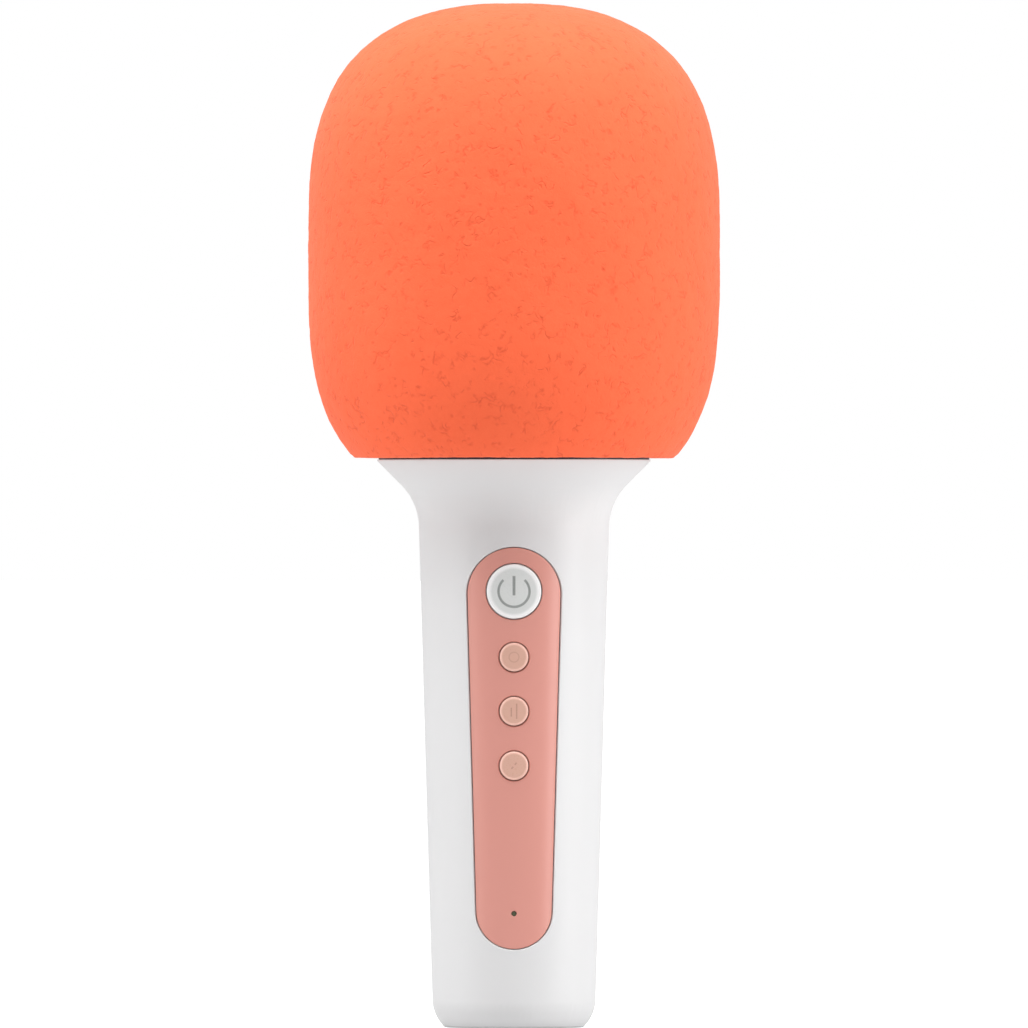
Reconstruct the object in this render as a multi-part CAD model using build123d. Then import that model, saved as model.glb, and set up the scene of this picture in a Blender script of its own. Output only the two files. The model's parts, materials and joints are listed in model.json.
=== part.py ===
from build123d import *
from math import atan2, cos, pi, sin, sqrt
import os

# A cordless singing microphone for children. Millimetres, Z up, origin at the middle of the foot.
# The front, with the key panel, faces -Y. Heights are measured from the foot.

# Foam head: a superellipse turned about Z and cut flat at the bottom
HEAD_R = 46.35
HEAD_HALF_H = 57.3
HEAD_MID_Z = 172.7
HEAD_ROUND_POWER = 2.41
HEAD_TALL_POWER = 3.27
HEAD_BOTTOM_Z = 127.7
HEAD_POINTS = 14

# Grip: a slim cone that sweeps out through an arc into a 45 degree flare
GRIP_FOOT_R = 18.18
GRIP_SLOPE = 0.02827
GRIP_WALL = 2.0
NECK_ARC_R = 13.7
FLARE_R = 30.7
FLARE_TOP_Z = 127.4
FLARE_LAND = 0.3
FOOT_FLAT_R = 15.6
FOOT_ARC_Z = 6.1
FLOOR_T = 3.6
SEAM_GAP = 0.1
LIP_T = 0.9
LIP_H = 1.0

# Foot plate and charging port
CAP_R = 11.4
CAP_RIM_R = 12.5
CAP_RIM_Z = 1.3
CAP_RIM_T = 1.2
CAP_PLAY = 0.2
USB_BOARD_Z = 8.0
USB_BOTTOM_Z = 0.5
USB_L = 8.94
USB_H = 3.26
USB_WALL = 0.3

# Grille under the foam
CAGE_R = 30.4
CAGE_WALL = 1.6
CAGE_DOME_Z = 178.7
SIDE_ROWS = 3
SIDE_ROW_PITCH = 13.6
WINDOW_COLUMNS = 16
WINDOW_BAR = 2.2
CAGE_SCREW_RISE = 3.4
BAFFLE_T = 2.6
BAFFLE_TOP_Z = FLARE_TOP_Z + BAFFLE_T
BAFFLE_HOLE_R = 22.4
RIM_H = 6.6
RIM_R = 28.7
FOAM_GAP = 0.4
LINER_T = 0.6

# Key panel: a tapered strip let into the front of the grip
PANEL_TOP_Z = 97.3
PANEL_TOP_R = 10.4
PANEL_LOW_Z = 26.3
PANEL_LOW_R = 8.43
PANEL_T = 1.5
PANEL_SET = 0.05
PANEL_GAP = 0.16
FLOOR_INSET = 1.6
FLOOR_BACK = 2.9
EDGE_ROUND = 0.25

# Keys
POWER_Z = 97.9
SMALL_KEY_Z = {"upper": 83.2, "middle": 71.1, "lower": 58.9}
POWER_R = 6.1
SMALL_R = 3.2
KEY_GAP = 0.22
KEY_PROUD = 0.35
KEY_ROUND = 0.35
FLANGE_TOP = 1.7
FLANGE_BACK = 2.5
FLANGE_WIDER = 1.0
STEM_R = 1.8
LED_Z = 25.8
LED_HOLE_R = 0.6

# Boards and cell
BOARD_FRONT_Y = -12.0
BOARD_T = 1.2
BOARD_BACK_Y = BOARD_FRONT_Y + BOARD_T
BOARD_W = 19.0
BOARD_Z = (20.0, 104.0)
SWITCH_W = 6.2
SWITCH_T = 1.8
PLUNGER_R = 1.6
PLUNGER_TIP_Y = -14.6
CELL_R = 9.15
CELL_Z = (18.0, 83.0)
CELL_Y = 0.6
CRADLE_R = 10.6
CRADLE_Z = (15.8, 86.4)

# Fasteners
SCREW_R = 1.0
SCREW_HEAD_R = 1.9
SCREW_HEAD_H = 1.3
SHELL_SCREW_X = 12.6
SHELL_SCREW_Z = (13.5, 101.0)
SHELL_SCREW_SEAT_Y = 7.0
BOARD_SCREW_X = 7.0
BOARD_SCREW_Z = (34.0, 78.0)
BOARD_SCREW_SEAT_Y = -9.3
BAFFLE_SCREW_R = 26.2
BAFFLE_SCREW_ANGLES = (45, 135, 225, 315)
CAGE_SCREW_ANGLES = (90, 210, 330)
LEAD_HOLE_R = 24.6
WIRE_R = 0.5

# Capsule on its bridge
LEG_ANGLES = (30, 150, 270)
LEG_R = 24.6
LEG_T = 1.8
BOOT_R = 6.5
CAPSULE_R = 4.9
CAPSULE_LOW_Z = 177.6
CAPSULE_TOP_Z = 184.4

# Speaker
SPEAKER_R = 23.6
FLANGE_Z = 125.6
CONE_NECK_R = 7.2
CONE_NECK_Z = 119.3
CONE_RIM_R = 19.0
CONE_RISE = 0.5
CONE_T = 0.35
COIL_R = 6.7
CORE_R = 6.2
MAGNET_R = 14.5
MAGNET_LOW_Z = 108.3
MAGNET_TOP_Z = 114.3
PLATE_T = 2.0
PLATE_TOP_Z = MAGNET_TOP_Z + PLATE_T


def grip_radius(z):
    return GRIP_FOOT_R + GRIP_SLOPE * z


def neck_corner(inset):
    """Where the grip cone, moved in by inset, would meet the 45 degree flare, as (radius, height)."""
    flare = FLARE_R - (FLARE_TOP_Z - FLARE_LAND) - inset * sqrt(2)
    z = (GRIP_FOOT_R - inset - flare) / (1 - GRIP_SLOPE)
    return (z + flare, z)


def turned(outline):
    """Solid of revolution about Z. The outline's edges are drawn as (radius, height)."""
    return revolve(Plane.XZ * make_face(outline), Axis.Z)


def ring(inner_r, outer_r, low_z, high_z):
    flat = Circle(outer_r)
    if inner_r > 0:
        flat -= Circle(inner_r)
    return Pos(0, 0, low_z) * extrude(flat, high_z - low_z)


def post(x, y, radius, low_z, high_z):
    return Pos(x, y, 0) * ring(0, radius, low_z, high_z)


def rod_y(x, z, radius, y_from, y_to):
    """Round bar along Y."""
    length = abs(y_to - y_from)
    return Pos(x, (y_from + y_to) / 2, z) * Rot(90, 0, 0) * Cylinder(radius, length)


def block(x, y, z):
    """Box given by its (low, high) pair along each axis."""
    middle = Pos((x[0] + x[1]) / 2, (y[0] + y[1]) / 2, (z[0] + z[1]) / 2)
    return middle * Box(x[1] - x[0], y[1] - y[0], z[1] - z[0])


def forward(flat, start=0.0):
    """Push an outline drawn on the XZ plane out through the front of the grip."""
    return extrude(Plane.XZ.offset(start) * flat, 30)


def grip_cone(inset):
    """The grip's conical surface moved in by inset, as a solid."""
    height = 112.0
    low = GRIP_FOOT_R - inset
    return Pos(0, 0, height / 2) * Cone(low, low + GRIP_SLOPE * height, height)


def edges_on_grip(shape, inset):
    """The edges of a piece that lie on the grip's conical surface moved in by inset."""
    found = []
    for edge in shape.edges():
        gaps = []
        for share in (0.1, 0.35, 0.6, 0.9):
            point = edge.position_at(share)
            gaps.append(abs(sqrt(point.X ** 2 + point.Y ** 2) - grip_radius(point.Z) + inset))
        if max(gaps) < 0.03:
            found.append(edge)
    return found


def group(solids):
    return Compound(children=list(solids))


def around(shape, angles):
    return [Rot(0, 0, angle) * shape for angle in angles]


def on_circle(radius, angle):
    return (radius * cos(angle * pi / 180), radius * sin(angle * pi / 180))


# ---------------------------------------------------------------- foam head and grille

def head_point(t):
    """Point of the head's outline at the superellipse parameter t, in radians."""
    rise = abs(sin(t)) ** (2 / HEAD_TALL_POWER) * HEAD_HALF_H
    return (HEAD_R * cos(t) ** (2 / HEAD_ROUND_POWER), HEAD_MID_Z + (rise if t > 0 else -rise))


def dome(radius, low_z):
    """Upright cylinder closed by a half sphere."""
    top = CAGE_DOME_Z + radius
    side = Polyline((0, top), (0, low_z), (radius, low_z), (radius, CAGE_DOME_Z))
    return turned(side + RadiusArc((radius, CAGE_DOME_Z), (0, top), -radius))


def foam_windscreen():
    low_share = (HEAD_MID_Z - HEAD_BOTTOM_Z) / HEAD_HALF_H
    sine = low_share ** (HEAD_TALL_POWER / 2)
    low_t = -atan2(sine, sqrt(1 - sine ** 2))
    steps = [low_t + (pi / 2 - low_t) * i / HEAD_POINTS for i in range(HEAD_POINTS)]
    points = [head_point(t) for t in steps] + [(0, HEAD_MID_Z + HEAD_HALF_H)]
    skin = Spline(*points)
    closing = Polyline(points[-1], (0, HEAD_BOTTOM_Z), points[0])
    cavity = dome(CAGE_R + FOAM_GAP, HEAD_BOTTOM_Z - 1)
    return turned(skin + closing) - cavity


def side_window(low_z, high_z, sweep_angle):
    inner_r = CAGE_R - 4
    outer_r = CAGE_R + 2
    flat = Polyline((inner_r, low_z), (outer_r, low_z), (outer_r, high_z), (inner_r, high_z), close=True)
    return revolve(Plane.XZ * make_face(flat), Axis.Z, sweep_angle)


def dome_window(low_angle, high_angle, sweep_angle):
    corners = []
    for radius, angle in ((27, low_angle), (33, low_angle), (33, high_angle), (27, high_angle)):
        r, rise = on_circle(radius, angle)
        corners.append((r, CAGE_DOME_Z + rise))
    return revolve(Plane.XZ * make_face(Polyline(*corners, close=True)), Axis.Z, sweep_angle)


def grille_cage():
    """Moulded basket: a plain band at the foot, then rows of windows up to the crown."""
    windows = [dome_window(4, 27, 17), dome_window(31, 53, 16)]
    for row in range(SIDE_ROWS):
        high_z = CAGE_DOME_Z - SIDE_ROW_PITCH * row - WINDOW_BAR / 2
        windows.append(side_window(high_z - SIDE_ROW_PITCH + WINDOW_BAR, high_z, 17.5))
    basket = dome(CAGE_R, BAFFLE_TOP_Z) - dome(CAGE_R - CAGE_WALL, BAFFLE_TOP_Z - 1)
    pitch = 360 / WINDOW_COLUMNS
    columns = [i * pitch for i in range(WINDOW_COLUMNS)]
    for window in windows:
        basket -= around(window, columns)
    basket -= around(dome_window(57, 76, 31), columns[::2])
    screw_z = BAFFLE_TOP_Z + CAGE_SCREW_RISE
    mouth = Pos(CAGE_R + 0.6, 0, screw_z) * Rot(0, 90, 0) * Cylinder(SCREW_HEAD_R + 0.1, 2.0)
    for angle in CAGE_SCREW_ANGLES:
        basket -= Rot(0, 0, angle) * (cage_screw(SCREW_HEAD_R + 0.1, SCREW_R + 0.1) + mouth)
    return basket


def cage_screw(head_r, shank_r):
    """Flush-headed screw that lies along +X, through the cage's band into the baffle's rim."""
    z = BAFFLE_TOP_Z + CAGE_SCREW_RISE
    head = Pos(CAGE_R - 0.55, 0, z) * Rot(0, 90, 0) * Cylinder(head_r, 1.0)
    shank = Pos(CAGE_R - 2.2, 0, z) * Rot(0, 90, 0) * Cylinder(shank_r, 2.4)
    return head + shank


def cage_screws():
    slot = Pos(CAGE_R, 0, BAFFLE_TOP_Z + CAGE_SCREW_RISE) * (Box(0.9, 0.5, 2.4) + Box(0.9, 2.4, 0.5))
    return group(around(cage_screw(SCREW_HEAD_R, SCREW_R) - slot, CAGE_SCREW_ANGLES))


def mesh_liner():
    """Fine wire cloth, pressed to a cup, that stands on the baffle's rim just inside the cage."""
    low_z = BAFFLE_TOP_Z + RIM_H
    return dome(RIM_R, low_z) - dome(RIM_R - LINER_T, low_z - 1)


def speaker_baffle():
    """Round plate that closes the flare, with a rim that locates the cage."""
    plate = ring(BAFFLE_HOLE_R, CAGE_R, FLARE_TOP_Z, BAFFLE_TOP_Z)
    rim = ring(27.0, RIM_R, BAFFLE_TOP_Z, BAFFLE_TOP_Z + RIM_H)
    baffle = plate + rim
    for angle in BAFFLE_SCREW_ANGLES:
        x, y = on_circle(BAFFLE_SCREW_R, angle)
        baffle -= post(x, y, SCREW_R + 0.15, FLARE_TOP_Z - 1, BAFFLE_TOP_Z + 1)
        baffle -= post(x, y, SCREW_HEAD_R + 0.3, BAFFLE_TOP_Z, BAFFLE_TOP_Z + RIM_H + 1)
    for angle in CAGE_SCREW_ANGLES:
        baffle -= Rot(0, 0, angle) * cage_screw(SCREW_HEAD_R, SCREW_R)
    return baffle - post(0, LEAD_HOLE_R, 0.9, FLARE_TOP_Z - 1, BAFFLE_TOP_Z + 1)


def screw(length):
    """Pan-head screw that points down -Z, with the underside of its head at the origin."""
    head = fillet(ring(0, SCREW_HEAD_R, 0, SCREW_HEAD_H).edges().group_by(Axis.Z)[-1], 0.5)
    cross = Box(2.2, 0.5, 1.4) + Box(0.5, 2.2, 1.4)
    return head + ring(0, SCREW_R, -length, 0) - Pos(0, 0, SCREW_HEAD_H) * cross


def baffle_screws():
    places = [on_circle(BAFFLE_SCREW_R, angle) for angle in BAFFLE_SCREW_ANGLES]
    return group(Pos(x, y, BAFFLE_TOP_Z) * screw(5.2) for x, y in places)


def capsule_bridge():
    """Three legs on the baffle that hold a ring at the middle of the head."""
    upright = Polyline((LEG_R, BAFFLE_TOP_Z), (LEG_R + LEG_T, BAFFLE_TOP_Z), (LEG_R + LEG_T, 168), (8.5, 184))
    leg_line = upright + Polyline((8.5, 184), (8.5, 181), (LEG_R, 166.5), (LEG_R, BAFFLE_TOP_Z))
    leg = extrude(Plane.XZ * make_face(leg_line), 2, both=True)
    bridge = ring(BOOT_R, BOOT_R + 2.5, 176.0, 186.0)
    for arm in around(leg, LEG_ANGLES):
        bridge += arm
    return bridge - ring(0, BOOT_R, 175, 187)


def capsule_boot():
    sleeve = ring(CAPSULE_R + 0.05, BOOT_R, CAPSULE_LOW_Z, 185.6)
    return sleeve + ring(3.0, BOOT_R, CAPSULE_LOW_Z - 1.1, CAPSULE_LOW_Z)


def mic_capsule():
    can = ring(0, CAPSULE_R, CAPSULE_LOW_Z, CAPSULE_TOP_Z)
    port = ring(0, 1.2, CAPSULE_TOP_Z - 0.5, CAPSULE_TOP_Z + 1)
    small_port = Pos(3.0, 0, 0) * ring(0, 0.5, CAPSULE_TOP_Z - 0.4, CAPSULE_TOP_Z + 1)
    return can - port - around(small_port, range(0, 360, 60))


def capsule_felt():
    return ring(0, CAPSULE_R - 0.2, CAPSULE_TOP_Z, CAPSULE_TOP_Z + 0.8)


# ---------------------------------------------------------------- speaker

def cone_z(r):
    """Height of the paper cone's upper face."""
    return CONE_NECK_Z + CONE_T + (r - CONE_NECK_R) * CONE_RISE


def speaker_frame():
    wall = Polyline(
        (SPEAKER_R, 126.8), (SPEAKER_R, FLANGE_Z), (22.7, FLANGE_Z), (17.9, PLATE_TOP_Z),
        (9.5, PLATE_TOP_Z), (9.5, 117.5), (17.1, 117.5), (21.9, 126.8), close=True,
    )
    window = Pos(19.6, 0, 121.2) * Rot(0, 27, 0) * Box(4, 14, 4.6)
    return turned(wall) - around(window, (0, 90, 180, 270))


def speaker_top_plate():
    return ring(CONE_NECK_R + 0.4, MAGNET_R - 1.5, MAGNET_TOP_Z, PLATE_TOP_Z)


def speaker_magnet():
    return ring(8.6, MAGNET_R, MAGNET_LOW_Z, MAGNET_TOP_Z)


def speaker_yoke():
    plate = ring(0, MAGNET_R - 1.0, MAGNET_LOW_Z - PLATE_T, MAGNET_LOW_Z)
    return fillet(plate.edges().group_by(Axis.Z)[0], 0.6) + ring(0, CORE_R, MAGNET_LOW_Z, PLATE_TOP_Z)


def voice_coil():
    return ring(COIL_R, CONE_NECK_R, 110.5, CONE_NECK_Z + CONE_T)


def speaker_cone():
    rim_z = cone_z(CONE_RIM_R)
    neck_z = cone_z(CONE_NECK_R)
    under = ((CONE_NECK_R, neck_z - CONE_T), (CONE_RIM_R, rim_z - CONE_T))
    return turned(Polyline(*under, (CONE_RIM_R, rim_z), (CONE_NECK_R, neck_z), close=True))


def dust_cap():
    """Small dome glued over the voice coil."""
    foot_r = 8.4
    rise = 2.6
    ball_r = (foot_r ** 2 + rise ** 2) / (2 * rise)
    crown_z = cone_z(foot_r) + rise
    bowl = Pos(0, 0, crown_z - ball_r) * (Sphere(ball_r) - Sphere(ball_r - CONE_T))
    return bowl & ring(0, foot_r + 1, cone_z(foot_r), crown_z + 1)


def speaker_surround():
    """Half-roll rubber edge between the cone and the frame."""
    foot = 18.0
    rim_z = cone_z(CONE_RIM_R)
    over_rim = (CONE_RIM_R, rim_z + 0.4)
    under_rim = (CONE_RIM_R + 0.35, rim_z + 0.1)
    roll_out = ThreePointArc(over_rim, (20.7, 128.2), (22.4, 127.1))
    land = Polyline((22.4, 127.1), (SPEAKER_R, 127.1), (SPEAKER_R, 126.8), (22.0, 126.8))
    roll_in = ThreePointArc((22.0, 126.8), (20.7, 127.8), under_rim)
    glued_foot = ((foot, cone_z(foot)), (foot, cone_z(foot) + 0.35))
    glue = Polyline(under_rim, (CONE_RIM_R, rim_z), *glued_foot, over_rim)
    return turned(roll_out + land + roll_in + glue)


def speaker_spider():
    """Corrugated cloth ring that centres the voice coil."""
    inner_r = CONE_NECK_R
    outer_r = 15.4
    waves = 3
    steps = 12
    wave = []
    for i in range(steps + 1):
        share = i / steps
        wave.append((inner_r + (outer_r - inner_r) * share, 118.5 + 0.35 * sin(2 * pi * waves * share)))
    upper = [(r, z + 0.3) for r, z in reversed(wave)]
    foot = Polyline(wave[-1], (outer_r, 117.5), (16.4, 117.5), (16.4, upper[0][1]), upper[0])
    return turned(Spline(*wave) + foot + Spline(*upper) + Line(upper[-1], wave[0]))


def speaker_gasket():
    return ring(22.5, SPEAKER_R, 127.1, FLARE_TOP_Z)


# ---------------------------------------------------------------- grip shells

def grip_outside():
    """Outer form of the grip and flare."""
    start = (grip_radius(FOOT_ARC_Z), FOOT_ARC_Z)
    foot = Line((0, 0), (FOOT_FLAT_R, 0)) + TangentArc(start, (FOOT_FLAT_R, 0), tangent=(-GRIP_SLOPE, -1))
    side = FilletPolyline(start, neck_corner(0), (FLARE_R, FLARE_TOP_Z - FLARE_LAND), radius=NECK_ARC_R)
    top = Polyline((FLARE_R, FLARE_TOP_Z - FLARE_LAND), (FLARE_R, FLARE_TOP_Z), (0, FLARE_TOP_Z), (0, 0))
    return turned(foot + side + top)


def grip_layer(inset, low_z=FLOOR_T, top_z=FLARE_TOP_Z):
    """The grip's form moved in by inset, from low_z up to top_z, as a solid."""
    corner = neck_corner(inset)
    low_r = grip_radius(low_z) - inset
    rim = (corner[0] + top_z - corner[1], top_z)
    bends = [2.0, NECK_ARC_R + inset, 0]
    side = FilletPolyline((0, low_z), (low_r, low_z), corner, rim, (0, top_z), radius=bends)
    return turned(side + Line((0, top_z), (0, low_z)))


def panel_outline(wider=0.0):
    """Tapered strip with round ends, drawn on the XZ plane."""
    top = CenterArc((0, PANEL_TOP_Z), PANEL_TOP_R + wider, 0, 360)
    low = CenterArc((0, PANEL_LOW_Z), PANEL_LOW_R + wider, 0, 360)
    return make_hull([top.edge(), low.edge()])


def disc_at(z, radius):
    return Pos(0, z) * Circle(radius)


def shell_blank():
    """Both halves of the grip as one hollow piece, with everything that is turned about Z."""
    within_wall = grip_layer(GRIP_WALL / 2)
    blank = grip_outside() - grip_layer(GRIP_WALL, top_z=FLARE_TOP_Z + 1)
    blank += ring(13.2, 17.0, 6.6, USB_BOARD_Z) & within_wall
    blank += ring(22.9, 28.5, 123.9, FLANGE_Z) & within_wall
    for angle in BAFFLE_SCREW_ANGLES:
        x, y = on_circle(BAFFLE_SCREW_R, angle)
        blank += post(x, y, 2.1, 120.0, FLARE_TOP_Z) & within_wall
        blank -= post(x, y, SCREW_R, FLARE_TOP_Z - 3.0, FLARE_TOP_Z + 1)
    blank -= ring(0, CAP_R + CAP_PLAY, -1, FLOOR_T + 1)
    blank -= ring(0, CAP_RIM_R + CAP_PLAY, CAP_RIM_Z - 0.1, CAP_RIM_Z + CAP_RIM_T + 0.1)
    return blank


def lip(outer_inset, inner_inset, low_y, high_y):
    """Strip of the wall's inner half along the seam, where the two shells key together."""
    wall = grip_layer(outer_inset) - grip_layer(inner_inset, low_z=FLOOR_T - 1, top_z=FLARE_TOP_Z + 1)
    return wall & block((-40, 40), (low_y, high_y), (9.5, 121.0))


def shell_screw_places():
    return [(x, z) for x in (-SHELL_SCREW_X, SHELL_SCREW_X) for z in SHELL_SCREW_Z]


def front_shell(blank):
    space = block((-40, 40), (-60, -SEAM_GAP / 2), (-1, FLARE_TOP_Z + 1))
    shell = blank & space
    patch = forward(panel_outline(2.2)) & (grip_cone(1.0) - grip_cone(FLOOR_BACK))
    shell += patch
    for x, z in shell_screw_places():
        shell += rod_y(x, z, 2.4, -16, -SEAM_GAP / 2) & grip_cone(1.0)
        shell -= rod_y(x, z, SCREW_R, -8, 1)
    for x, z in board_screw_places():
        shell += rod_y(x, z, 2.4, -18, BOARD_FRONT_Y) & grip_cone(FLOOR_INSET + 0.2)
        shell -= rod_y(x, z, SCREW_R, -16, 1)
    shell -= lip(GRIP_WALL - LIP_T - 0.05, GRIP_WALL + 0.05, -LIP_H - 0.1, 1)
    pocket = forward(panel_outline(PANEL_GAP)) - grip_cone(FLOOR_INSET)
    shell -= pocket
    shell -= forward(disc_at(POWER_Z, POWER_R + FLANGE_WIDER + 0.4))
    for z in SMALL_KEY_Z.values():
        shell -= forward(disc_at(z, SMALL_R + FLANGE_WIDER + 0.4))
    shell -= forward(disc_at(LED_Z, 1.35))
    mouth = [edge for edge in edges_on_grip(shell, 0) if edge.center().Y < -FOOT_FLAT_R]
    return fillet(mouth, EDGE_ROUND)


def rear_shell(blank):
    space = block((-40, 40), (SEAM_GAP / 2, 60), (-1, FLARE_TOP_Z + 1))
    shell = blank & space
    for z in (34.0, 51.0, 68.0):
        rib = block((-8, 8), (4, 19), (z - 0.8, z + 0.8)) & grip_cone(1.0)
        shell += rib - Pos(0, CELL_Y, 0) * ring(0, CELL_R + 0.8, z - 2, z + 2)
    for x, z in shell_screw_places():
        shell += rod_y(x, z, 3.1, SEAM_GAP / 2, 19) & grip_cone(0.6)
        shell -= rod_y(x, z, SCREW_HEAD_R + 0.4, SHELL_SCREW_SEAT_Y, 30)
        shell -= rod_y(x, z, SCREW_R + 0.15, -1, SHELL_SCREW_SEAT_Y + 1)
    shell += lip(GRIP_WALL - LIP_T, GRIP_WALL, -LIP_H, 0.5)
    return shell - mic_lead(radius=0.85)


def handle_screws():
    """The grip's screws lie along Y with their heads to the rear."""
    laid = Rot(-90, 0, 0) * screw(14.0)
    return group(Pos(x, SHELL_SCREW_SEAT_Y, z) * laid for x, z in shell_screw_places())


def usb_mouth(length, height, low_z, high_z):
    return Pos(0, 0, low_z) * extrude(SlotOverall(length, height), high_z - low_z)


def base_cap():
    """Round foot plate, held in a groove between the two shells."""
    cap = ring(0, CAP_R, 0, FLOOR_T)
    cap = chamfer(cap.edges().group_by(Axis.Z)[0], 0.35)
    cap += ring(0, CAP_RIM_R, CAP_RIM_Z, CAP_RIM_Z + CAP_RIM_T)
    return cap - usb_mouth(USB_L + 0.66, USB_H + 0.64, -1, FLOOR_T + 1)


# ---------------------------------------------------------------- panel and keys

def control_panel():
    panel = forward(panel_outline()) & (grip_cone(PANEL_SET) - grip_cone(PANEL_SET + PANEL_T))
    panel -= forward(disc_at(POWER_Z, POWER_R + KEY_GAP))
    for z in SMALL_KEY_Z.values():
        panel -= forward(disc_at(z, SMALL_R + KEY_GAP))
    panel -= forward(disc_at(LED_Z, LED_HOLE_R))
    return fillet(edges_on_grip(panel, PANEL_SET), EDGE_ROUND)


def key(z, cap_r):
    """Key cap that follows the grip's curve, with a flange behind the panel and a stem to its switch."""
    cap = forward(disc_at(z, cap_r)) & (grip_cone(-KEY_PROUD) - grip_cone(FLANGE_TOP))
    cap = fillet(edges_on_grip(cap, -KEY_PROUD), KEY_ROUND)
    flange = forward(disc_at(z, cap_r + FLANGE_WIDER)) & (grip_cone(FLANGE_TOP) - grip_cone(FLANGE_BACK))
    stem = forward(disc_at(z, STEM_R), -PLUNGER_TIP_Y) & grip_cone(FLANGE_BACK)
    return cap + flange + stem


def power_symbol():
    """Open ring with a bar through its gap, as flat strokes on the XZ plane."""
    radius = 3.46
    stroke = 0.55
    gap_half = 43
    far = 9
    arc_ring = Circle(radius + stroke / 2) - Circle(radius - stroke / 2)
    gap_ends = (on_circle(far, 90 - gap_half), on_circle(far, 90 + gap_half))
    notch = make_face(Polyline((0, 0), *gap_ends, close=True))
    bar = Pos(0, 1.27) * SlotOverall(4.34, 0.64, rotation=90)
    return Pos(0, POWER_Z) * ((arc_ring - notch) + bar)


def power_key():
    engraved = forward(power_symbol()) - grip_cone(-KEY_PROUD + 0.15)
    return key(POWER_Z, POWER_R) - engraved


def light_pipe():
    tip = forward(disc_at(LED_Z, LED_HOLE_R - 0.05)) & (grip_cone(0.3) - grip_cone(FLOOR_INSET))
    flange = forward(disc_at(LED_Z, 1.25)) & (grip_cone(FLOOR_INSET) - grip_cone(FLOOR_INSET + 1.0))
    stub = forward(disc_at(LED_Z, 0.9), 12.9) & grip_cone(FLOOR_INSET + 1.0)
    return tip + flange + stub


def plunger(z):
    return rod_y(0, z, PLUNGER_R, PLUNGER_TIP_Y, -12.95)


def switch_bodies():
    bodies = []
    for z in (POWER_Z, *SMALL_KEY_Z.values()):
        half = SWITCH_W / 2
        body = block((-half, half), (BOARD_FRONT_Y - SWITCH_T, BOARD_FRONT_Y), (z - half, z + half))
        bodies.append(body - rod_y(0, z, PLUNGER_R + 0.12, -15, BOARD_FRONT_Y - 0.3))
    return group(bodies)


# ---------------------------------------------------------------- boards, cell and wiring

def board_screw_places():
    return [(x, z) for x in (-BOARD_SCREW_X, BOARD_SCREW_X) for z in BOARD_SCREW_Z]


def board_holes():
    return [rod_y(x, z, SCREW_R + 0.15, -16, -5) for x, z in board_screw_places()]


def switch_board():
    half = BOARD_W / 2
    board = block((-half, half), (BOARD_FRONT_Y, BOARD_BACK_Y), BOARD_Z)
    board = chamfer(board.edges().filter_by(Axis.Y), 1.0)
    return board - board_holes()


def about(middle, length):
    return (middle - length / 2, middle + length / 2)


def on_board_back(x, z, width, height, depth):
    return block(about(x, width), (BOARD_BACK_Y, BOARD_BACK_Y + depth), about(z, height))


def on_board_front(x, z, width, height, depth):
    return block(about(x, width), (BOARD_FRONT_Y - depth, BOARD_FRONT_Y), about(z, height))


def board_chips():
    sound_chip = on_board_back(0, 92.5, 7, 7, 0.9)
    amplifier = on_board_back(-5.5, 90, 4, 5, 0.9)
    charger = on_board_back(1.6, 26, 2.9, 1.6, 0.7)
    return group([sound_chip, amplifier, charger])


def board_passives():
    """Chip resistors and capacitors: a row beside each small switch and one under the sound chip."""
    chips = []
    for z in SMALL_KEY_Z.values():
        chips += [on_board_front(x, z + rise, 1.6, 0.8, 0.55) for x in (-5.5, 5.5) for rise in (-1.6, 0, 1.6)]
    chips += [on_board_back(x, 87.0, 0.8, 1.6, 0.55) for x in (-3, -1.5, 0, 1.5, 3)]
    return group(chips)


def board_connectors():
    sockets = []
    for x, z in ((-6.9, 98.5), (6.9, 98.5), (6.9, 89.5)):
        sockets.append(on_board_back(x, z, 4.6, 5.0, 2.8))
    sockets.append(on_board_back(-7.2, 23.8, 3.6, 5.0, 2.0))
    return group(sockets)


def status_led():
    return on_board_front(0, LED_Z, 1.6, 0.8, 0.7)


def battery_cell():
    can = fillet(ring(0, CELL_R, CELL_Z[0], CELL_Z[1]).edges(), 0.6)
    return Pos(0, CELL_Y, 0) * (can + ring(0, 2.8, CELL_Z[1], CELL_Z[1] + 0.8))


def battery_cradle():
    """Saddle behind the board, with a wall at each end of the cell and a post for each board screw."""
    low_z, high_z = CRADLE_Z
    wall_t = 1.4
    wide = (-20, 20)
    saddle = ring(CELL_R + 0.15, CRADLE_R, low_z, high_z) & block(wide, (-20, -3.6), CRADLE_Z)
    low_wall = ring(3.6, CRADLE_R, low_z, low_z + wall_t)
    high_wall = ring(3.6, CRADLE_R, high_z - wall_t, high_z)
    walls = (low_wall + high_wall) & block(wide, (-20, -0.8), CRADLE_Z)
    cradle = Pos(0, CELL_Y, 0) * (saddle + walls)
    room_for_cell = Pos(0, CELL_Y, 0) * ring(0, CELL_R + 0.15, low_z + wall_t, high_z - wall_t)
    for x, z in board_screw_places():
        cradle += rod_y(x, z, 2.8, BOARD_BACK_Y, -4) - room_for_cell
    for x, z in board_screw_places():
        cradle -= rod_y(x, z, SCREW_HEAD_R + 0.2, BOARD_SCREW_SEAT_Y, -2)
        cradle -= rod_y(x, z, SCREW_R + 0.15, -12, BOARD_SCREW_SEAT_Y + 0.3)
    return cradle


def board_screws():
    laid = Rot(-90, 0, 0) * screw(6.2)
    return group(Pos(x, BOARD_SCREW_SEAT_Y, z) * laid for x, z in board_screw_places())


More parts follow.
